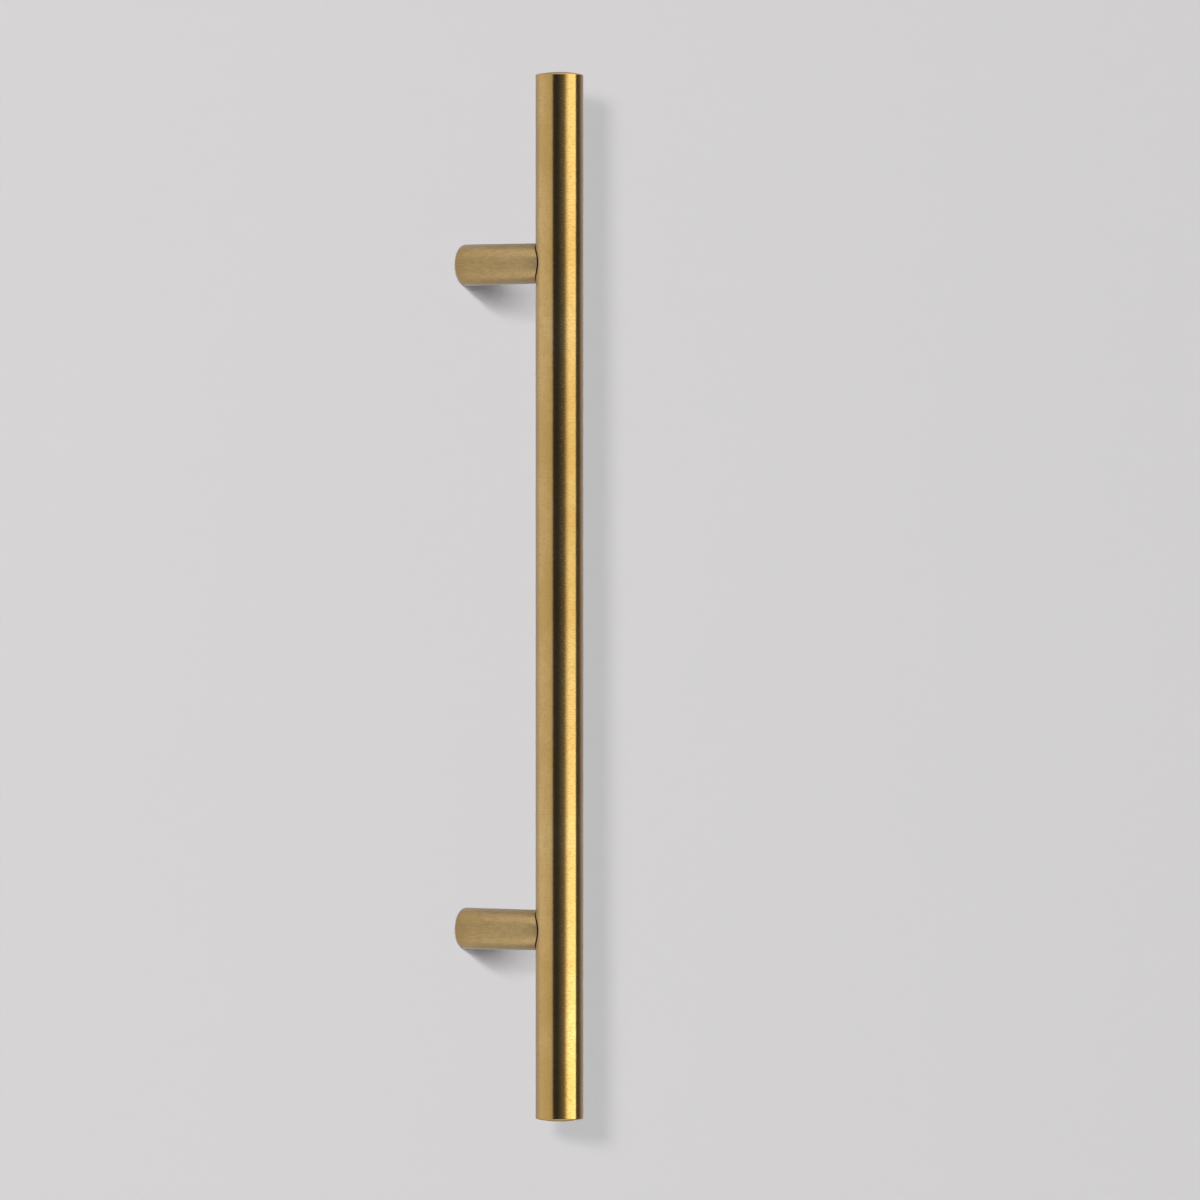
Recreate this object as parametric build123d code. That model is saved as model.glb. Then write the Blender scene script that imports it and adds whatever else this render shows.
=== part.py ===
from build123d import *
import os
from math import radians, tan

# Door pull handle in solid brass: a straight round bar carried clear of the door by two round posts.
# Millimetres. +Z runs up along the bar and +Y points into the door.
# The origin lies on the mounting face, midway between the two fixing holes.

# Bar
BAR_DIA = 16.0
BAR_LENGTH = 352.0          # over the crowned ends
END_CROWN = 0.9             # rise of each end face at its middle
END_ROUND = 0.5             # radius that eases the edge of each end

# Posts
FIXING_CENTRES = 224.0      # from post to post
STANDOFF = 37.0             # mounting face to bar axis
FOOT_DIA = 14.0             # at the mounting face
NECK_DIA = 13.4             # where the taper would reach the bar axis
FOOT_CHAMFER = 0.3
SHADOW_LINE_WIDTH = 0.2     # open line between the rim of the saddle and the bar
SHADOW_LINE_DEPTH = 0.6     # how far that line goes in under the rim
SEAT_GAP = 0.02             # between the saddle and the bar

# Tapped fixing hole in each foot, at its tapping size
FIXING_TAP_DIA = 5.0
FIXING_DEPTH = 9.0
FIXING_CHAMFER = 0.5

# Studs that screw each post to the bar
STUD_DIA = 8.0
STUD_LENGTH = 17.0
STUD_IN_BAR = 9.0
STUD_CHAMFER = 0.8
STUD_SOCKET = 4.0           # across the flats of the hexagon
STUD_SOCKET_DEPTH = 4.0
STUD_CLEARANCE = 0.05       # on the radius, in its tapped holes
STUD_RUNOUT = 1.0           # depth of each tapped hole beyond the end of the stud

DRILL_POINT = 118.0         # full angle of a drilled hole's bottom, in degrees

bar_r = BAR_DIA / 2
bar_end = BAR_LENGTH / 2
saddle_r = bar_r + SEAT_GAP
stud_r = STUD_DIA / 2
stud_hole_r = stud_r + STUD_CLEARANCE
fixing_r = FIXING_TAP_DIA / 2

# A post and its stud are drawn standing on the mounting face, with the bar's axis level above them.
# These are heights above that face.
stud_top = STANDOFF - bar_r + STUD_IN_BAR
stud_bottom = stud_top - STUD_LENGTH


def turned(outline):
    """The piece turned about Z from half of its outline, drawn with its radius across and its height up."""
    return revolve(make_face(Plane.XZ * outline), Axis.Z)


def drilled(radius, mouth, bottom):
    """A drilled hole from its mouth to the end of its full bore, with the drill's point beyond."""
    point = radius / tan(radians(DRILL_POINT / 2))
    tip = bottom + point if bottom > mouth else bottom - point
    return turned(Polyline((0, mouth), (radius, mouth), (radius, bottom), (0, tip), close=True))


def across_post(radius):
    """A cylinder about the bar's axis, long enough to cut right across a post."""
    reach = 2 * max(FOOT_DIA, NECK_DIA)
    return Pos(0, 0, STANDOFF) * Rot(90, 0, 0) * Cylinder(radius, reach)


def tapered(inset):
    """The post's taper from the mounting face to the bar's axis, set in all round."""
    foot_r = FOOT_DIA / 2 - inset
    neck_r = NECK_DIA / 2 - inset
    foot_edge = [(foot_r - FOOT_CHAMFER, 0), (foot_r, FOOT_CHAMFER)]
    return turned(Polyline((0, 0), *foot_edge, (neck_r, STANDOFF), (0, STANDOFF), close=True))


def make_post():
    """A post whose middle beds on the bar, and whose rim stops short of it by the shadow line."""
    rim = tapered(0) - across_post(saddle_r + SHADOW_LINE_WIDTH)
    seat = tapered(SHADOW_LINE_DEPTH) - across_post(saddle_r)
    fixing_hole = drilled(fixing_r, 0, FIXING_DEPTH)
    mouth_r = fixing_r + FIXING_CHAMFER
    fixing_mouth = turned(Polyline((0, 0), (mouth_r, 0), (0, mouth_r), close=True))
    stud_hole = drilled(stud_hole_r, STANDOFF, stud_bottom - STUD_RUNOUT)
    return rim + seat - fixing_hole - fixing_mouth - stud_hole


def make_stud():
    """A headless screw, chamfered at both ends, with a hexagon socket in the end that faces the door."""
    tip_r = stud_r - STUD_CHAMFER
    lower_end = [(0, stud_bottom), (tip_r, stud_bottom), (stud_r, stud_bottom + STUD_CHAMFER)]
    upper_end = [(stud_r, stud_top - STUD_CHAMFER), (tip_r, stud_top), (0, stud_top)]
    shank = turned(Polyline(*lower_end, *upper_end, close=True))
    hexagon = RegularPolygon(STUD_SOCKET / 2, 6, major_radius=False)
    return shank - Pos(0, 0, stud_bottom) * extrude(hexagon, STUD_SOCKET_DEPTH)


def make_bar(placings):
    """A turned rod with crowned ends and a blind tapped hole for the stud at each placing."""
    rim = bar_end - END_CROWN
    outline = Curve() + [
        TangentArc((0, bar_end), (bar_r, rim), tangent=(1, 0)),
        Line((bar_r, rim), (bar_r, -rim)),
        TangentArc((0, -bar_end), (bar_r, -rim), tangent=(1, 0)),
        Line((0, -bar_end), (0, bar_end)),
    ]
    rod = turned(outline)
    rod = fillet(rod.edges().filter_by(lambda edge: edge.is_closed), END_ROUND)
    stud_hole = drilled(stud_hole_r, 0, stud_top + STUD_RUNOUT)
    return Pos(0, -STANDOFF, 0) * rod - [placing * stud_hole for placing in placings]


# Each placing lays a piece drawn on the mounting face over to its post's height beside the door
lay_over = Rot(90, 0, 0)
post_placings = {
    "upper": Pos(0, 0, FIXING_CENTRES / 2) * lay_over,
    "lower": Pos(0, 0, -FIXING_CENTRES / 2) * lay_over,
}

pieces = {"bar": make_bar(post_placings.values())}
for side, placing in post_placings.items():
    pieces[f"{side}_post"] = placing * make_post()
    pieces[f"{side}_stud"] = placing * make_stud()

os.makedirs("parts", exist_ok=True)
for name, piece in pieces.items():
    export_step(piece, f"parts/{name}.step")
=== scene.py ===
from math import asin, cos, pi, radians, sin, sqrt, tan

import bmesh
import bpy
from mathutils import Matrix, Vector


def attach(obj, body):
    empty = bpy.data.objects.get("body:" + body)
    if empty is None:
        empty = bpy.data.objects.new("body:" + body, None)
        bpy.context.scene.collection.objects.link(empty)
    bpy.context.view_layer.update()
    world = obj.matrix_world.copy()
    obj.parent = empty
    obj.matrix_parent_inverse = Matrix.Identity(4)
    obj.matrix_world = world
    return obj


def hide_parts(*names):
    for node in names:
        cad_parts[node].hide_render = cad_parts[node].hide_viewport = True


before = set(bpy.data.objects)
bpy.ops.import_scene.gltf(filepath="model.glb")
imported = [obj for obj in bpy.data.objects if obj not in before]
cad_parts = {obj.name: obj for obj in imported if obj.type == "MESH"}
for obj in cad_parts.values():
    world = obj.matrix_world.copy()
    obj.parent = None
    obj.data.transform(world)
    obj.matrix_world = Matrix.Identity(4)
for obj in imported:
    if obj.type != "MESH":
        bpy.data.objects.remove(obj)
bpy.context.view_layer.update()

# Metres. +Z runs up along the bar, +Y points into the wall, and the faces of the feet are at y = 0.
MM = 0.001

# The handle's sizes, as the solids have them
BAR_R = 8.0 * MM
BAR_END = 176.0 * MM            # half of the bar's length
END_CROWN = 0.9 * MM
END_ROUND = 0.5 * MM
STANDOFF = 37.0 * MM            # feet to bar axis
POST_HEIGHTS = {"upper": 112.0 * MM, "lower": -112.0 * MM}
FOOT_R = 7.0 * MM
NECK_R = 6.7 * MM               # where the taper would reach the bar axis
FOOT_CHAMFER = 0.3 * MM
SHADOW_LINE_WIDTH = 0.2 * MM
SHADOW_LINE_DEPTH = 0.6 * MM
SEAT_GAP = 0.02 * MM
SADDLE_R = BAR_R + SEAT_GAP
FIXING_R = 2.5 * MM
FIXING_DEPTH = 9.0 * MM
FIXING_MOUTH_R = 3.0 * MM
STUD_HOLE_R = 4.05 * MM
STUD_HOLE_BOTTOM = 20.0 * MM    # distance from the feet to the end of its full bore in the post
STUD_HOLE_TOP = 39.0 * MM       # the same in the bar
DRILL_POINT = radians(118.0)    # full angle

# Detail that the solids leave out
EASED_EDGE = 0.12 * MM          # width of the broken edge on turned and coped rims
THREAD_PITCH = 1.0 * MM
THREAD_DEPTH = 0.5 * MM
THREAD_ROOT = 0.2               # share of a pitch over which the groove has its full depth
THREAD_GROOVE = 0.6             # share of a pitch that the groove takes up
THREAD_AT_MOUTH = 0.4           # share of its depth with which it starts at the mouth
THREAD_RUN_IN = 2.0             # share of its depth that it gains over one pitch from there

# Fineness of the meshes
BAR_SEGMENTS = 144
POST_SEGMENTS = 120
CROWN_RINGS = 14
ROUND_RINGS = 8
SIDE_RINGS = 6
SEAT_RINGS = 8
THREAD_RINGS = 8                # in one pitch
EASED_SEGMENTS = 2
COPING_ROUNDS = 4               # that settle the height of a coped ring
SHARP_ANGLE = radians(32.0)

# Colours, linear
BRASS = (0.795, 0.532, 0.188, 1.0)
BRASS_DEEP = (0.720, 0.463, 0.140, 1.0)
BRASS_PALE = (0.850, 0.595, 0.240, 1.0)
BRASS_WORN = (0.500, 0.290, 0.085, 1.0)
POST_BRASS = (0.650, 0.435, 0.162, 1.0)
POST_BRASS_DEEP = (0.560, 0.358, 0.114, 1.0)
POST_BRASS_PALE = (0.715, 0.495, 0.200, 1.0)
POST_BRASS_WORN = (0.380, 0.235, 0.075, 1.0)
POST_BRASS_BARE = (0.800, 0.600, 0.280, 1.0)
# The first is painted shade round the joints; the second is tarnish for the posts' specks and painted shade
# in the shadow lines at the joints
JOINT_SHADE_BRASS = (0.500, 0.400, 0.250, 1.0)
TARNISH_AND_SHADE = (0.055, 0.036, 0.022, 1.0)
STEEL = (0.560, 0.570, 0.580, 1.0)
STEEL_DARK = (0.330, 0.330, 0.340, 1.0)
PALE_PAINT = (0.800, 0.791, 0.798, 1.0)
PALE_PAINT_TONE = (0.792, 0.783, 0.790, 1.0)
PALE_SURROUND = (0.665, 0.655, 0.660, 1.0)
WHITE_LIGHT = (1.0, 1.0, 1.0, 1.0)
WARM_LIGHT = (1.0, 0.95, 0.76, 1.0)
COOL_LIGHT = (0.85, 0.95, 1.60, 1.0)
FLAG_LIGHT = (1.00, 0.94, 0.95, 1.0)
KEY_LIGHT = (1.00, 0.96, 0.97, 1.0)

# Noise on the surfaces: its grain along x, y and z in millimetres, its detail, and a shift that sets it apart
BAR_NOISE = {
    "patches": ((16.0, 16.0, 22.0), 3.0, 0.0),
    "mottle": ((2.5, 2.5, 4.0), 2.0, 7.0),
    "lines": ((14.0, 14.0, 0.3), 2.0, 0.0),
    "streaks": ((1.6, 1.6, 0.5), 2.0, 9.0),
    "grain": ((1.2, 1.2, 0.35), 1.0, 3.0),
}
POST_NOISE = {
    "patches": ((4.0, 7.0, 4.0), 3.0, 0.0),
    "mottle": ((1.5, 3.0, 1.5), 2.0, 2.0),
    "grain": ((0.5, 4.0, 0.5), 1.0, 4.0),
    "specks": ((0.6, 1.0, 0.6), 2.0, 5.0),
    "scuffs": ((0.45, 2.6, 0.45), 2.0, 8.0),
}
STEEL_NOISE = ((0.4, 0.4, 0.4), 3.0, 0.0)
PAINT_NOISE = ((90.0, 90.0, 90.0), 2.0, 0.0)

# Tones laid over the deep brass: the noise that each follows, its run over that noise, and its colour.
# A run is two values and then the results at those two.
BAR_TONES = [
    ("patches", (0.32, 0.52, 0.0, 1.0), BRASS),
    ("patches", (0.52, 0.72, 0.0, 1.0), BRASS_PALE),
    ("mottle", (0.45, 0.75, 0.0, 0.55), BRASS_DEEP),
    ("lines", (0.50, 0.80, 0.0, 0.50), BRASS_DEEP),
    ("streaks", (0.48, 0.76, 0.0, 0.30), BRASS_WORN),
]
POST_TONES = [
    ("patches", (0.20, 0.55, 0.0, 1.0), POST_BRASS),
    ("mottle", (0.35, 0.68, 0.0, 0.8), POST_BRASS_PALE),
    ("grain", (0.42, 0.72, 0.0, 0.7), POST_BRASS_DEEP),
]

# Zones of the bar, as runs over the distance from the nearer post's axis, the depth, and the height
# Painted shade round each joint, on the wall side: a duller ring, and a dark one in the shadow line
JOINT_SHADE_RING = (NECK_R, NECK_R + 1.2 * MM, 0.75, 0.0)
SEAM_SHADE_RING = (NECK_R - 0.1 * MM, NECK_R + 0.1 * MM, 1.0, 0.0)
WALL_SIDE = (-STANDOFF, -STANDOFF + 1.0 * MM, 0.0, 1.0)
END_FACE = (BAR_END - END_CROWN - END_ROUND, BAR_END - END_CROWN, 0.0, 1.0)

# Scuffs on the side of the bar that hands rub
RUBBED_SIDE = radians(40.0)     # how far it lies to the left of the front
RUBBED = (0.92, 0.975, 0.0, 1.0)    # run over the cosine of the angle from that side
SCUFFS = (0.45, 0.72, 0.0, 1.0)     # run over the grain
SCUFF_WEAR = 0.45

# Zones of a post, as runs over the depth and over the distance from the bar's axis
# Painted shade toward the foot and painted light toward the bar, both over the depth
FOOT_SHADE_ZONE = (-7.0 * MM, 0.0, 0.0, 0.6)
NEAR_BAR_LIGHT_ZONE = (-STANDOFF + BAR_R, -10.0 * MM, 0.8, 0.0)
SCUFF_ZONE = (-14.0 * MM, -3.0 * MM, 1.0, 0.45)
SPECK_ZONE = (-STANDOFF + BAR_R, -12.0 * MM, 1.0, 0.05)
# Painted shade at the post's rim: slightly duller near the bar, and dark in the shadow line
JOINT_SHADE_RIM = (SADDLE_R, SADDLE_R + 1.2 * MM, 0.12, 0.0)
SEAM_SHADE_RIM = (SADDLE_R + SHADOW_LINE_WIDTH, SADDLE_R + 0.3 * MM, 1.0, 0.0)

# Marks on a post: their zone, the noise that they follow, their run over that noise, and their colour
POST_MARKS = [
    (SCUFF_ZONE, "scuffs", (0.42, 0.75, 0.0, 0.30), POST_BRASS_WORN),
    (SCUFF_ZONE, "scuffs", (0.25, 0.50, 0.30, 0.0), POST_BRASS_BARE),
    (SPECK_ZONE, "specks", (0.56, 0.80, 0.0, 0.55), TARNISH_AND_SHADE),
]

# Finish
BAR_ROUGHNESS = (0.0, 1.0, 0.165, 0.283)    # run over the scuffs
END_ROUGHNESS = (0.0, 1.0, 0.15, 0.36)      # run from the bar's side to its end faces
BAR_COAT = (0.0, 1.0, 0.6, 0.0)             # the same for its clear lacquer
BAR_RELIEF = 0.015 * MM
POST_ROUGHNESS = (0.3, 0.7, 0.36, 0.42)     # run over the mottle
POST_COAT = 1.0
POST_RELIEF = 0.010 * MM
POST_BRUSHING = 0.75            # how far the gloss is drawn out
BRUSHING_TURN = 0.25            # of a full turn, from around the post to along it
COAT_ROUGHNESS = 0.16
COAT_IOR = 1.5
STEEL_TONE = (0.3, 0.7, 0.0, 1.0)           # runs over the grain
STEEL_ROUGHNESS = (0.3, 0.7, 0.30, 0.45)

# Painted light and shade that reflections see on the wall and the floor, as a glow whose level follows the
# distance to the right of the posts
WALL_LEVELS = [
    (-0.60, 0.62),
    (-0.25, 0.77),
    (-0.06, 0.92),
    (-0.022, 1.00),
    (-0.012, 0.92),
    (0.004, 0.60),
    (0.03, 0.52),
    (0.06, 0.44),
]
FLOOR_LEVELS = [
    (-0.90, 0.90),
    (-0.60, 1.70),
    (-0.10, 1.70),
    (0.05, 0.90),
]
OVERHEAD = (0.45, 0.75)         # how far up a direction points where the space above grows brighter
OVERHEAD_LEVEL = 1.70           # how bright reflections see it

# Camera
CAMERA_AZIMUTH = radians(59.6)  # how far it stands to the left of square on
CAMERA_DISTANCE = 2.684
CAMERA_RIGHT = 13.6 * MM        # of the bar's axis
CAMERA_UP = -1.1 * MM
LENS = 240.0

scene = bpy.context.scene
scene.view_settings.view_transform = "Standard"


# Meshes

def level(radius, height):
    """A ring of one radius at one height."""
    return lambda angle: (radius, height)


def arc(count, first, last):
    """Evenly spaced values from first to last, both included."""
    return [first + (last - first) * step / (count - 1) for step in range(count)]


def full_turn(count):
    """Evenly spaced angles once round."""
    return [2 * pi * step / count for step in range(count)]


def finished(name, made):
    """The mesh of what has been made, under a name."""
    mesh = bpy.data.meshes.new(name)
    made.to_mesh(mesh)
    made.free()
    return mesh


def ring_mesh(name, rings, segments, place, eased=()):
    """A closed mesh through rings that run from one end on the axis to the other.

    Each ring gives the radius and height at an angle, the first and last are single points, and place turns
    radius, angle and height into a position. The rings numbered in eased get a broken edge."""
    made = bmesh.new()
    weight = made.edges.layers.float.new("bevel_weight_edge")
    angles = full_turn(segments)
    loops = []
    for number, ring in enumerate(rings):
        single = number in (0, len(rings) - 1)
        turns = angles[:1] if single else angles
        loops.append([made.verts.new(place(angle, *ring(angle))) for angle in turns])
    for before, after in zip(loops, loops[1:]):
        for step in range(segments):
            following = (step + 1) % segments
            corners = [before[step % len(before)], before[following % len(before)]]
            corners += [after[following % len(after)], after[step % len(after)]]
            made.faces.new(list(dict.fromkeys(corners)))
    for number in eased:
        loop = loops[number]
        for step in range(segments):
            made.edges.get((loop[step], loop[(step + 1) % segments]))[weight] = 1.0
    bmesh.ops.recalc_face_normals(made, faces=made.faces)
    return finished(name, made)


def show(name, mesh):
    """An object that shows a mesh."""
    made = bpy.data.objects.new(name, mesh)
    scene.collection.objects.link(made)
    return made


def settle(piece):
    """Replaces a piece's mesh with the result of its modifiers, shaded smooth up to its sharp edges."""
    graph = bpy.context.evaluated_depsgraph_get()
    mesh = bpy.data.meshes.new_from_object(piece.evaluated_get(graph))
    piece.modifiers.clear()
    piece.data = mesh
    mesh.shade_smooth()
    mesh.set_sharp_from_angle(angle=SHARP_ANGLE)


def place_on_bar(angle, radius, height):
    """A position from the bar's axis, with height along it."""
    return (radius * cos(angle), radius * sin(angle) - STANDOFF, height)


def place_on_post(post_height):
    """Positions from a post's axis, with height measured out from the feet."""
    return lambda angle, radius, height: (radius * sin(angle), -height, post_height + radius * cos(angle))


def bar_end_rings():
    """The rings of the bar's upper end, from the middle of its crown to the start of its straight side."""
    crown_r = (BAR_R ** 2 + END_CROWN ** 2) / (2 * END_CROWN)
    crown_middle = BAR_END - crown_r
    meeting = asin((BAR_R - END_ROUND) / (crown_r - END_ROUND))
    round_middle = crown_middle + (crown_r - END_ROUND) * cos(meeting)
    rings = []
    for turn in arc(CROWN_RINGS, 0, meeting):
        rings.append((crown_r * sin(turn), crown_middle + crown_r * cos(turn)))
    for turn in arc(ROUND_RINGS, meeting, pi / 2)[1:]:
        rings.append((BAR_R - END_ROUND + END_ROUND * sin(turn), round_middle + END_ROUND * cos(turn)))
    return rings


def drill_point(radius):
    """How far a drill's point goes beyond the end of its full bore."""
    return radius / tan(DRILL_POINT / 2)


def drill_rings():
    """The rings of the drill for a stud hole in the bar, from its end on the post's axis to its point."""
    tip = STUD_HOLE_TOP + drill_point(STUD_HOLE_R)
    side = [level(STUD_HOLE_R, STUD_HOLE_BOTTOM), level(STUD_HOLE_R, STUD_HOLE_TOP)]
    return [level(0, STUD_HOLE_BOTTOM)] + side + [level(0, tip)]


def make_bar():
    """The turned rod, with its two blind stud holes."""
    upper_end = bar_end_rings()
    lower_end = [(radius, -height) for radius, height in reversed(upper_end)]
    beside_posts = []
    for post_height in POST_HEIGHTS.values():
        beside_posts += [(BAR_R, post_height + FOOT_R), (BAR_R, post_height - FOOT_R)]
    rings = [level(*ring) for ring in upper_end + beside_posts + lower_end]
    bar = show("bar_rod", ring_mesh("bar_rod", rings, BAR_SEGMENTS, place_on_bar))
    drills = []
    for side, post_height in POST_HEIGHTS.items():
        mesh = ring_mesh("drill", drill_rings(), POST_SEGMENTS, place_on_post(post_height))
        drills.append(show(f"drill_{side}", mesh))
        cut = bar.modifiers.new("stud hole", "BOOLEAN")
        cut.solver = "EXACT"
        cut.object = drills[-1]
    settle(bar)
    for drill in drills:
        bpy.data.objects.remove(drill)
    return bar


def side_radius(height, inset):
    """The radius of the post's taper at a height, set in all round."""
    return FOOT_R + (NECK_R - FOOT_R) * (height - FOOT_CHAMFER) / (STANDOFF - FOOT_CHAMFER) - inset


def coped(inset, bar_distance):
    """The ring where the post's taper, set in all round, comes to that distance from the bar's axis."""
    def ring(angle):
        height = STANDOFF - bar_distance
        for _ in range(COPING_ROUNDS):
            radius = side_radius(height, inset)
            height = STANDOFF - sqrt(bar_distance ** 2 - (radius * sin(angle)) ** 2)
        return side_radius(height, inset), height
    return ring


def seat(share):
    """A ring on the saddle's bed, from its edge at share 0 to the stud hole at share 1."""
    edge = coped(SHADOW_LINE_DEPTH, SADDLE_R)

    def ring(angle):
        radius = edge(angle)[0]
        radius += (STUD_HOLE_R - radius) * share
        return radius, STANDOFF - sqrt(SADDLE_R ** 2 - (radius * sin(angle)) ** 2)
    return ring


def part_way(first, last, share):
    """A ring part of the way between two others."""
    def ring(angle):
        return tuple(a + (b - a) * share for a, b in zip(first(angle), last(angle)))
    return ring


def thread(height, full):
    """A ring of the fixing hole's thread, cut as deep as full says."""
    def ring(angle):
        turn = (height / THREAD_PITCH - angle / (2 * pi)) % 1
        from_root = abs(2 * turn - 1)
        groove = (THREAD_GROOVE - from_root) / (THREAD_GROOVE - THREAD_ROOT)
        return FIXING_R + THREAD_DEPTH * min(1.0, max(0.0, groove)) * full, height
    return ring


def thread_rings():
    """The fixing hole's thread from its bottom out to its mouth, fading at both ends."""
    bottom = FIXING_DEPTH - THREAD_PITCH
    mouth = FIXING_MOUTH_R - FIXING_R
    count = round((bottom - mouth) / THREAD_PITCH * THREAD_RINGS)
    rings = []
    for height in arc(count, bottom, mouth)[1:-1]:
        run_out = (bottom - height) / THREAD_PITCH
        run_in = THREAD_AT_MOUTH + THREAD_RUN_IN * (height - mouth) / THREAD_PITCH
        rings.append(thread(height, min(1.0, run_out, run_in)))
    return [level(FIXING_R, bottom)] + rings + [level(FIXING_R, mouth)]


def make_post(side):
    """One post: threaded foot, tapered side, rim with its shadow line, coped seat and stud hole."""
    fixing_tip = FIXING_DEPTH + drill_point(FIXING_R)
    stud_tip = STUD_HOLE_BOTTOM - drill_point(STUD_HOLE_R)
    foot = level(FOOT_R, FOOT_CHAMFER)
    rim = coped(0, SADDLE_R + SHADOW_LINE_WIDTH)
    rings = [level(0, fixing_tip), level(FIXING_R, FIXING_DEPTH)]
    rings += thread_rings()
    rings.append(level(FIXING_MOUTH_R, 0))
    eased = [len(rings) - 1]
    rings += [level(FOOT_R - FOOT_CHAMFER, 0), foot]
    eased += [len(rings) - 2, len(rings) - 1]
    rings += [part_way(foot, rim, share) for share in arc(SIDE_RINGS, 0, 1)[1:]]
    eased.append(len(rings) - 1)
    rings.append(coped(SHADOW_LINE_DEPTH, SADDLE_R + SHADOW_LINE_WIDTH))
    rings += [seat(share) for share in arc(SEAT_RINGS, 0, 1)]
    rings += [level(STUD_HOLE_R, STUD_HOLE_BOTTOM), level(0, stud_tip)]
    name = f"{side}_post_turned"
    post = show(name, ring_mesh(name, rings, POST_SEGMENTS, place_on_post(POST_HEIGHTS[side]), eased))
    ease = post.modifiers.new("eased edges", "BEVEL")
    ease.width = EASED_EDGE
    ease.segments = EASED_SEGMENTS
    ease.limit_method = "WEIGHT"
    settle(post)
    return post


# Materials

def feed(tree, socket, value):
    """Joins a socket to an output, or sets it to a value."""
    if isinstance(value, bpy.types.NodeSocket):
        tree.links.new(value, socket)
    else:
        socket.default_value = value


def node(tree, kind, inputs=None, **settings):
    """A new node with these settings, each named input set to a value or joined to a socket."""
    made = tree.nodes.new("ShaderNode" + kind)
    for key, value in settings.items():
        setattr(made, key, value)
    for key, value in (inputs or {}).items():
        feed(tree, made.inputs[key], value)
    return made


def new_material(name):
    """An empty material with its node tree and output."""
    material = bpy.data.materials.new(name)
    material.use_nodes = True
    material.node_tree.nodes.clear()
    output = node(material.node_tree, "OutputMaterial")
    return material, material.node_tree, output


def place_in_frame(tree):
    """The position on the object, in metres."""
    return node(tree, "TexCoord").outputs["Object"]


def axes_of(tree):
    """The position's x, y and z."""
    return node(tree, "SeparateXYZ", {0: place_in_frame(tree)}).outputs


def noise(tree, grain, detail, shift):
    """Noise whose grain has that size along x, y and z, in millimetres."""
    scale = tuple(1 / (size * MM) for size in grain)
    inputs = {"Vector": place_in_frame(tree), "Location": (shift, shift, shift), "Scale": scale}
    mapping = node(tree, "Mapping", inputs)
    inputs = {"Vector": mapping.outputs[0], "Scale": 1.0, "Detail": detail}
    return node(tree, "TexNoise", inputs).outputs["Fac"]


def noises_of(tree, table):
    """Each noise of a table, by name."""
    return {name: noise(tree, *row) for name, row in table.items()}


def between(tree, value, low, high, to_low=0.0, to_high=1.0):
    """A value carried from one range to another and held inside it."""
    inputs = {"Value": value, "From Min": low, "From Max": high, "To Min": to_low, "To Max": to_high}
    return node(tree, "MapRange", inputs, interpolation_type="SMOOTHSTEP").outputs[0]


def mixed(tree, share, first, second):
    """One colour or the other by a share."""
    made = node(tree, "Mix", {"Factor": share}, data_type="RGBA")
    for key, value in (("A", first), ("B", second)):
        socket = next(s for s in made.inputs if s.name == key and s.type == "RGBA")
        feed(tree, socket, value)
    return next(s for s in made.outputs if s.type == "RGBA")


def total(tree, kind, *values):
    """What one kind of sum makes of values."""
    made = node(tree, "Math", operation=kind)
    for socket, value in zip(made.inputs, values):
        feed(tree, socket, value)
    return made.outputs[0]


def vector(tree, kind, *values):
    """The node of one kind of sum on vectors."""
    return node(tree, "VectorMath", dict(enumerate(values)), operation=kind)


def distance_from_line(tree, point, keep):
    """How far the surface lies from a line through a point, keep being 0 along the line and 1 across it."""
    offset = vector(tree, "SUBTRACT", place_in_frame(tree), point)
    flat = vector(tree, "MULTIPLY", offset.outputs[0], keep)
    return vector(tree, "LENGTH", flat.outputs[0]).outputs["Value"]


def ramp(tree, value, levels):
    """A run of levels over a value, through a few pairs of value and level."""
    first, last = levels[0][0], levels[-1][0]
    top = max(strength for _, strength in levels)
    share = node(tree, "MapRange", {"Value": value, "From Min": first, "From Max": last}).outputs[0]
    made = node(tree, "ValToRGB", {"Fac": share})
    stops = made.color_ramp.elements
    while len(stops) < len(levels):
        stops.new(1.0)
    for stop, (at, strength) in zip(stops, levels):
        stop.position = (at - first) / (last - first)
        stop.color = (strength / top,) * 3 + (1.0,)
    return total(tree, "MULTIPLY", made.outputs["Color"], top)


def toned(tree, colour, noises, tones):
    """A colour with tones laid over it."""
    for name, run, tone in tones:
        colour = mixed(tree, between(tree, noises[name], *run), colour, tone)
    return colour


def lacquered(tree, output, colour, roughness, height, relief, coat):
    """Brass under a coat of clear lacquer, with a relief of that height."""
    bump = node(tree, "Bump", {"Strength": 1.0, "Distance": relief, "Height": height})
    inputs = {"Base Color": colour, "Metallic": 1.0, "Roughness": roughness, "Normal": bump.outputs[0]}
    inputs.update({"Coat Weight": coat, "Coat Roughness": COAT_ROUGHNESS, "Coat IOR": COAT_IOR})
    shader = node(tree, "BsdfPrincipled", inputs)
    tree.links.new(shader.outputs[0], output.inputs["Surface"])
    return shader


def rubbed_side(tree):
    """How much hands rub the bar, by how nearly its surface faces the side that they rub."""
    toward = (-sin(RUBBED_SIDE) / BAR_R, -cos(RUBBED_SIDE) / BAR_R, 0.0)
    from_axis = vector(tree, "SUBTRACT", place_in_frame(tree), (0.0, -STANDOFF, 0.0))
    facing = vector(tree, "DOT_PRODUCT", from_axis.outputs[0], toward)
    return between(tree, facing.outputs["Value"], *RUBBED)


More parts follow.
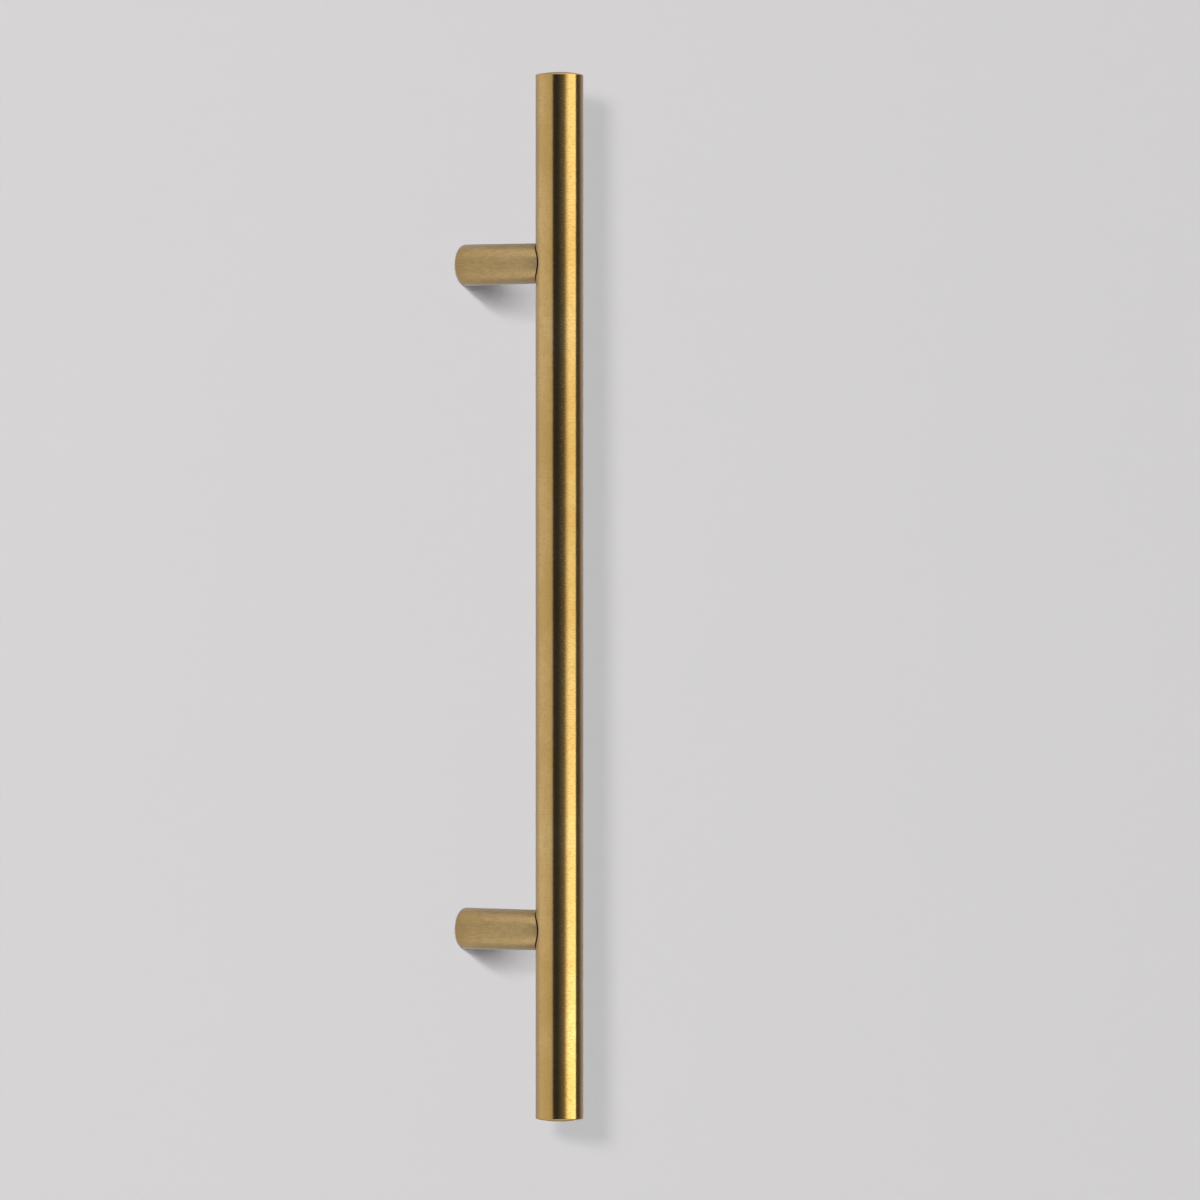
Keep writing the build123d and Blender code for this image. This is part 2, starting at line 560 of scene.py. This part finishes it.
def bar_brass():
    """Polished brass with turning lines and soft tones, scuffed on one side, with painted shade round the
    joints under the posts.
    """
    material, tree, output = new_material("bar_brass")
    noises = noises_of(tree, BAR_NOISE)
    axes = axes_of(tree)
    colour = toned(tree, BRASS_DEEP, noises, BAR_TONES)
    across = (1.0, 0.0, 1.0)
    away = [distance_from_line(tree, (0.0, 0.0, height), across) for height in POST_HEIGHTS.values()]
    nearest = total(tree, "MINIMUM", *away)
    wall_side = between(tree, axes["Y"], *WALL_SIDE)
    # Painted shade round the joints: a duller ring, and a dark one in the shadow line
    for ring, tone in ((JOINT_SHADE_RING, JOINT_SHADE_BRASS), (SEAM_SHADE_RING, TARNISH_AND_SHADE)):
        joint_shade = total(tree, "MULTIPLY", between(tree, nearest, *ring), wall_side)
        colour = mixed(tree, joint_shade, colour, tone)
    scuffs = total(tree, "MULTIPLY", rubbed_side(tree), between(tree, noises["grain"], *SCUFFS))
    colour = mixed(tree, total(tree, "MULTIPLY", scuffs, SCUFF_WEAR), colour, BRASS_WORN)
    at_end = between(tree, total(tree, "ABSOLUTE", axes["Z"]), *END_FACE)
    side_roughness = between(tree, scuffs, *BAR_ROUGHNESS)
    end_roughness = between(tree, at_end, *END_ROUGHNESS)
    roughness = total(tree, "MAXIMUM", side_roughness, end_roughness)
    coat = between(tree, at_end, *BAR_COAT)
    lacquered(tree, output, colour, roughness, noises["grain"], BAR_RELIEF, coat)
    return material


def post_brass():
    """Satin brass, streaked and mottled with a few specks, with painted shade at the foot and at the joint,
    and painted light toward the bar.
    """
    material, tree, output = new_material("post_brass")
    noises = noises_of(tree, POST_NOISE)
    depth = axes_of(tree)["Y"]
    from_bar = distance_from_line(tree, (0.0, -STANDOFF, 0.0), (1.0, 1.0, 0.0))
    colour = toned(tree, POST_BRASS_DEEP, noises, POST_TONES)
    # Painted shade toward the foot, then painted light toward the bar
    colour = mixed(tree, between(tree, depth, *FOOT_SHADE_ZONE), colour, POST_BRASS_DEEP)
    colour = mixed(tree, between(tree, depth, *NEAR_BAR_LIGHT_ZONE), colour, POST_BRASS_PALE)
    for zone, name, run, tone in POST_MARKS:
        marks = total(tree, "MULTIPLY", between(tree, depth, *zone), between(tree, noises[name], *run))
        colour = mixed(tree, marks, colour, tone)
    # Painted shade at the post's rim: slightly duller near the bar, and dark in the shadow line
    colour = mixed(tree, between(tree, from_bar, *JOINT_SHADE_RIM), colour, JOINT_SHADE_BRASS)
    colour = mixed(tree, between(tree, from_bar, *SEAM_SHADE_RIM), colour, TARNISH_AND_SHADE)
    roughness = between(tree, noises["mottle"], *POST_ROUGHNESS)
    shader = lacquered(tree, output, colour, roughness, noises["grain"], POST_RELIEF, POST_COAT)
    around = node(tree, "Tangent", direction_type="RADIAL", axis="Y").outputs[0]
    tree.links.new(around, shader.inputs["Tangent"])
    shader.inputs["Anisotropic"].default_value = POST_BRUSHING
    shader.inputs["Anisotropic Rotation"].default_value = BRUSHING_TURN
    return material


def stud_steel():
    """Zinc-grey steel with a fine grain."""
    material, tree, output = new_material("stud_steel")
    grain = noise(tree, *STEEL_NOISE)
    colour = mixed(tree, between(tree, grain, *STEEL_TONE), STEEL_DARK, STEEL)
    roughness = between(tree, grain, *STEEL_ROUGHNESS)
    shader = node(tree, "BsdfPrincipled", {"Base Color": colour, "Metallic": 1.0, "Roughness": roughness})
    tree.links.new(shader.outputs[0], output.inputs["Surface"])
    return material


def pale_paint(name, levels, lit):
    """Matt pale paint that shows from its front alone; reflections see a glow in its place, painted light and
    shade at these levels.

    The lamps light it, or else it is evenly pale."""
    material, tree, output = new_material(name)
    if lit:
        colour = mixed(tree, noise(tree, *PAINT_NOISE), PALE_PAINT_TONE, PALE_PAINT)
        paint = node(tree, "BsdfDiffuse", {"Color": colour})
    else:
        paint = node(tree, "Emission", {"Color": PALE_SURROUND, "Strength": 1.0})
    # Painted light and shade for reflections: a glow whose strength follows the levels
    strength = ramp(tree, axes_of(tree)["X"], levels)
    even = node(tree, "Emission", {"Color": PALE_SURROUND, "Strength": strength})
    reflected = node(tree, "LightPath").outputs["Is Glossy Ray"]
    front = node(tree, "MixShader", {0: reflected, 1: paint.outputs[0], 2: even.outputs[0]})
    clear = node(tree, "BsdfTransparent")
    behind = node(tree, "NewGeometry").outputs["Backfacing"]
    sides = node(tree, "MixShader", {0: behind, 1: front.outputs[0], 2: clear.outputs[0]})
    tree.links.new(sides.outputs[0], output.inputs["Surface"])
    return material


# Handle

def dress(piece, material):
    """Gives a piece its one material."""
    piece.data.materials.clear()
    piece.data.materials.append(material)


bar = make_bar()
posts = {side: make_post(side) for side in POST_HEIGHTS}
dress(bar, bar_brass())
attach(bar, "root")
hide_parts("bar")
satin = post_brass()
steel = stud_steel()
for side, post in posts.items():
    dress(post, satin)
    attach(post, "root")
    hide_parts(f"{side}_post")
    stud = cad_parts[f"{side}_stud"]
    dress(stud, steel)

# The brass shades the wall only where it stops a lamp's light, and lays no light on it
for piece in (bar, *posts.values()):
    piece.visible_diffuse = False


# Stage

WALL_REACH = 4.0                # to each side, and out over the floor
WALL_TOP = 3.0
FLOOR_HEIGHT = -1.05
WALL_GAP = 0.2 * MM             # behind the feet
FOOT_OPENING_R = 6.4 * MM       # of the opening in the wall behind each foot
OPENING_SEGMENTS = 48


def outline_of(made, points):
    """A closed loop of edges through points."""
    verts = [made.verts.new(point) for point in points]
    return [made.edges.new((a, b)) for a, b in zip(verts, verts[1:] + verts[:1])]


def flat_sheet(name, outlines, facing, levels, lit):
    """A flat sheet inside the first outline and outside the others, whose light reaches no matt surface."""
    made = bmesh.new()
    edges = [edge for points in outlines for edge in outline_of(made, points)]
    bmesh.ops.triangle_fill(made, use_beauty=True, edges=edges)
    made.normal_update()
    turned = [face for face in made.faces if face.normal.dot(Vector(facing)) < 0]
    bmesh.ops.reverse_faces(made, faces=turned)
    sheet = show(name, finished(name, made))
    dress(sheet, pale_paint(name, levels, lit))
    sheet.visible_diffuse = False


def oblong(left, right, low, high):
    """The corners of an oblong."""
    return [(left, low), (right, low), (right, high), (left, high)]


wall_corners = oblong(-WALL_REACH, WALL_REACH, FLOOR_HEIGHT, WALL_TOP)
wall_outlines = [[(x, WALL_GAP, z) for x, z in wall_corners]]
for post_height in POST_HEIGHTS.values():
    opening = place_on_post(post_height)
    turns = full_turn(OPENING_SEGMENTS)
    wall_outlines.append([opening(angle, FOOT_OPENING_R, -WALL_GAP) for angle in turns])
flat_sheet("wall", wall_outlines, (0, -1, 0), WALL_LEVELS, True)
floor_corners = oblong(-WALL_REACH, WALL_REACH, -WALL_REACH, WALL_GAP)
flat_sheet("floor", [[(x, y, FLOOR_HEIGHT) for x, y in floor_corners]], (0, 0, 1), FLOOR_LEVELS, False)


# Light

BANK_R = 1.2                    # the curved bank of softbox and flags, round the handle
BANK_START = radians(-90.0)     # angles from square on to the wall, to the left negative
BANK_STOP = radians(88.0)
BANK_RANGE = (-0.95, 0.9)       # its foot and its top
BANK_STEPS = 96
SOFTBOX_LEFT = (-40.0, -10.0)   # degrees over which its light comes up from the left flag
SPILL = (-70.0, -24.0)          # and over which some of it spills onto that flag
SPILL_LEVEL = 0.10
SOFTBOX_RIGHT = (24.5, 26.0)    # over which the right flag cuts it off
RIGHT_FLAG = (42.0, 92.0)       # over which the right flag turns paler
FLAG_DARK = 0.032
RIGHT_FLAG_DIM = 0.025
RIGHT_FLAG_PALE = 0.37

# The softbox's strength by height: dimmest level with the middle of the handle
SOFTBOX_LEVELS = [
    (-0.55, 0.00),
    (-0.40, 2.00),
    (-0.25, 1.95),
    (-0.187, 1.40),
    (-0.157, 1.58),
    (-0.07, 1.47),
    (-0.043, 0.96),
    (0.076, 0.95),
    (0.134, 1.18),
    (0.19, 1.46),
    (0.222, 1.36),
    (0.245, 1.42),
]

KEY_ANGLE = radians(-64.1)      # the key lamp throws the bar's shadow to the right
KEY_RISE = radians(5.0)
KEY_DISTANCE = 3.0
KEY_SIZE = 0.19
KEY_ENERGY = 4.3
SIDE_WIDTH = radians(5.0)       # that each side lamp takes up, seen from the wall
FILL = 0.02                     # light from all round

# The side lamps: how far left each stands for one step out from the wall, how far up for one step to the
# left, and the light that it lays on the wall
SIDE_LAMPS = [
    (0.25, 0.48, 0.13),
    (0.40, 0.46, 0.25),
    (0.55, 0.48, 0.29),
    (0.72, 0.45, 0.29),
    (0.90, 0.40, 0.23),
    (1.15, 0.36, 0.23),
    (1.50, 0.24, 0.34),
    (1.90, 0.11, 0.20),
]


def bank_glow():
    """The bank's light: a warm softbox between a dark flag and one that pales to the right."""
    material, tree, output = new_material("light_bank")
    axes = axes_of(tree)
    outward = total(tree, "MULTIPLY", axes["Y"], -1.0)
    angle = total(tree, "DEGREES", total(tree, "ARCTAN2", axes["X"], outward))
    spill = between(tree, angle, *SPILL, 0.0, SPILL_LEVEL)
    lit = total(tree, "MAXIMUM", between(tree, angle, *SOFTBOX_LEFT), spill)
    lit = total(tree, "MULTIPLY", lit, between(tree, angle, *SOFTBOX_RIGHT, 1.0, 0.0))
    lit = total(tree, "MULTIPLY", lit, ramp(tree, axes["Z"], SOFTBOX_LEVELS))
    softbox = node(tree, "Emission", {"Color": WARM_LIGHT, "Strength": lit})
    dim = between(tree, angle, *SOFTBOX_RIGHT, 0.0, RIGHT_FLAG_DIM)
    dim = total(tree, "ADD", dim, between(tree, angle, *RIGHT_FLAG, 0.0, RIGHT_FLAG_PALE))
    flag = node(tree, "Emission", {"Color": FLAG_LIGHT, "Strength": dim})
    dark = node(tree, "Emission", {"Color": COOL_LIGHT, "Strength": FLAG_DARK})
    both = node(tree, "AddShader", {0: softbox.outputs[0], 1: flag.outputs[0]})
    everything = node(tree, "AddShader", {0: both.outputs[0], 1: dark.outputs[0]})
    tree.links.new(everything.outputs[0], output.inputs["Surface"])
    return material


def light_bank():
    """A curved screen that only reflections see."""
    made = bmesh.new()
    columns = []
    for angle in arc(BANK_STEPS, BANK_START, BANK_STOP):
        x, y = BANK_R * sin(angle), -BANK_R * cos(angle)
        columns.append([made.verts.new((x, y, z)) for z in BANK_RANGE])
    for (low, high), (next_low, next_high) in zip(columns, columns[1:]):
        made.faces.new((low, next_low, next_high, high))
    bank = show("light_bank", finished("light_bank", made))
    dress(bank, bank_glow())
    bank.visible_camera = False
    bank.visible_diffuse = False
    bank.visible_shadow = False


def lamp(name, kind, toward, energy):
    """A lamp that lights the stage from a direction, and that reflections don't see."""
    data = bpy.data.lights.new(name, kind)
    data.energy = energy
    made = bpy.data.objects.new(name, data)
    scene.collection.objects.link(made)
    made.rotation_mode = "QUATERNION"
    made.rotation_quaternion = Vector(toward).to_track_quat("Z", "Y")
    made.visible_glossy = False
    return made


def shading(name, pieces):
    """A collection of the pieces that alone throw a lamp's shadow."""
    made = bpy.data.collections.new(name)
    for piece in pieces:
        made.objects.link(piece)
    return made


light_bank()
key_toward = Vector((sin(KEY_ANGLE) * cos(KEY_RISE), -cos(KEY_ANGLE) * cos(KEY_RISE), sin(KEY_RISE)))
key = lamp("key_lamp", "AREA", key_toward, KEY_ENERGY)
key.location = key_toward * KEY_DISTANCE
key.data.shape = "DISK"
key.data.size = KEY_SIZE
key.light_linking.blocker_collection = shading("key_lamp_shading", [bar])

# The key lamp's light is as strong on the far side of the wall as on the near one
key.data.use_nodes = True
beam = key.data.node_tree
beam.nodes.clear()
even = node(beam, "LightFalloff", {"Strength": 1.0}).outputs["Constant"]
glow = node(beam, "Emission", {"Color": KEY_LIGHT, "Strength": even})
node(beam, "OutputLight", {"Surface": glow.outputs[0]})

side_shading = shading("side_lamp_shading", posts.values())
for number, (left, slope, share) in enumerate(SIDE_LAMPS):
    toward = Vector((-left, -1.0, left * slope))
    side_lamp = lamp(f"side_lamp_{number}", "SUN", toward, share * toward.length)
    side_lamp.data.angle = SIDE_WIDTH
    side_lamp.light_linking.blocker_collection = side_shading

# A pale surround for the camera and for reflections, and a low fill for everything else
world = bpy.data.worlds.new("surround")
scene.world = world
world.use_nodes = True
world.node_tree.nodes.clear()
sky = world.node_tree
rays = node(sky, "LightPath").outputs
seen = total(sky, "MAXIMUM", rays["Is Camera Ray"], rays["Is Glossy Ray"])
seen = total(sky, "MAXIMUM", seen, rays["Is Transmission Ray"])
upward = node(sky, "SeparateXYZ", {0: node(sky, "TexCoord").outputs["Generated"]}).outputs["Z"]
overhead = total(sky, "MULTIPLY", between(sky, upward, *OVERHEAD), rays["Is Glossy Ray"])
strength = between(sky, overhead, 0.0, 1.0, 1.0, OVERHEAD_LEVEL)
pale = node(sky, "Background", {"Color": PALE_SURROUND, "Strength": strength})
fill = node(sky, "Background", {"Color": WHITE_LIGHT, "Strength": FILL})
either = node(sky, "MixShader", {0: seen, 1: fill.outputs[0], 2: pale.outputs[0]})
node(sky, "OutputWorld", {"Surface": either.outputs[0]})


# Camera

forward = Vector((sin(CAMERA_AZIMUTH), cos(CAMERA_AZIMUTH), 0.0))
right = Vector((cos(CAMERA_AZIMUTH), -sin(CAMERA_AZIMUTH), 0.0))
camera_data = bpy.data.cameras.new("camera")
camera_data.lens = LENS
camera = bpy.data.objects.new("camera", camera_data)
scene.collection.objects.link(camera)
aim = Vector((0.0, -STANDOFF, CAMERA_UP)) + right * CAMERA_RIGHT
camera.location = aim - forward * CAMERA_DISTANCE
camera.rotation_mode = "QUATERNION"
camera.rotation_quaternion = forward.to_track_quat("-Z", "Y")
scene.camera = camera
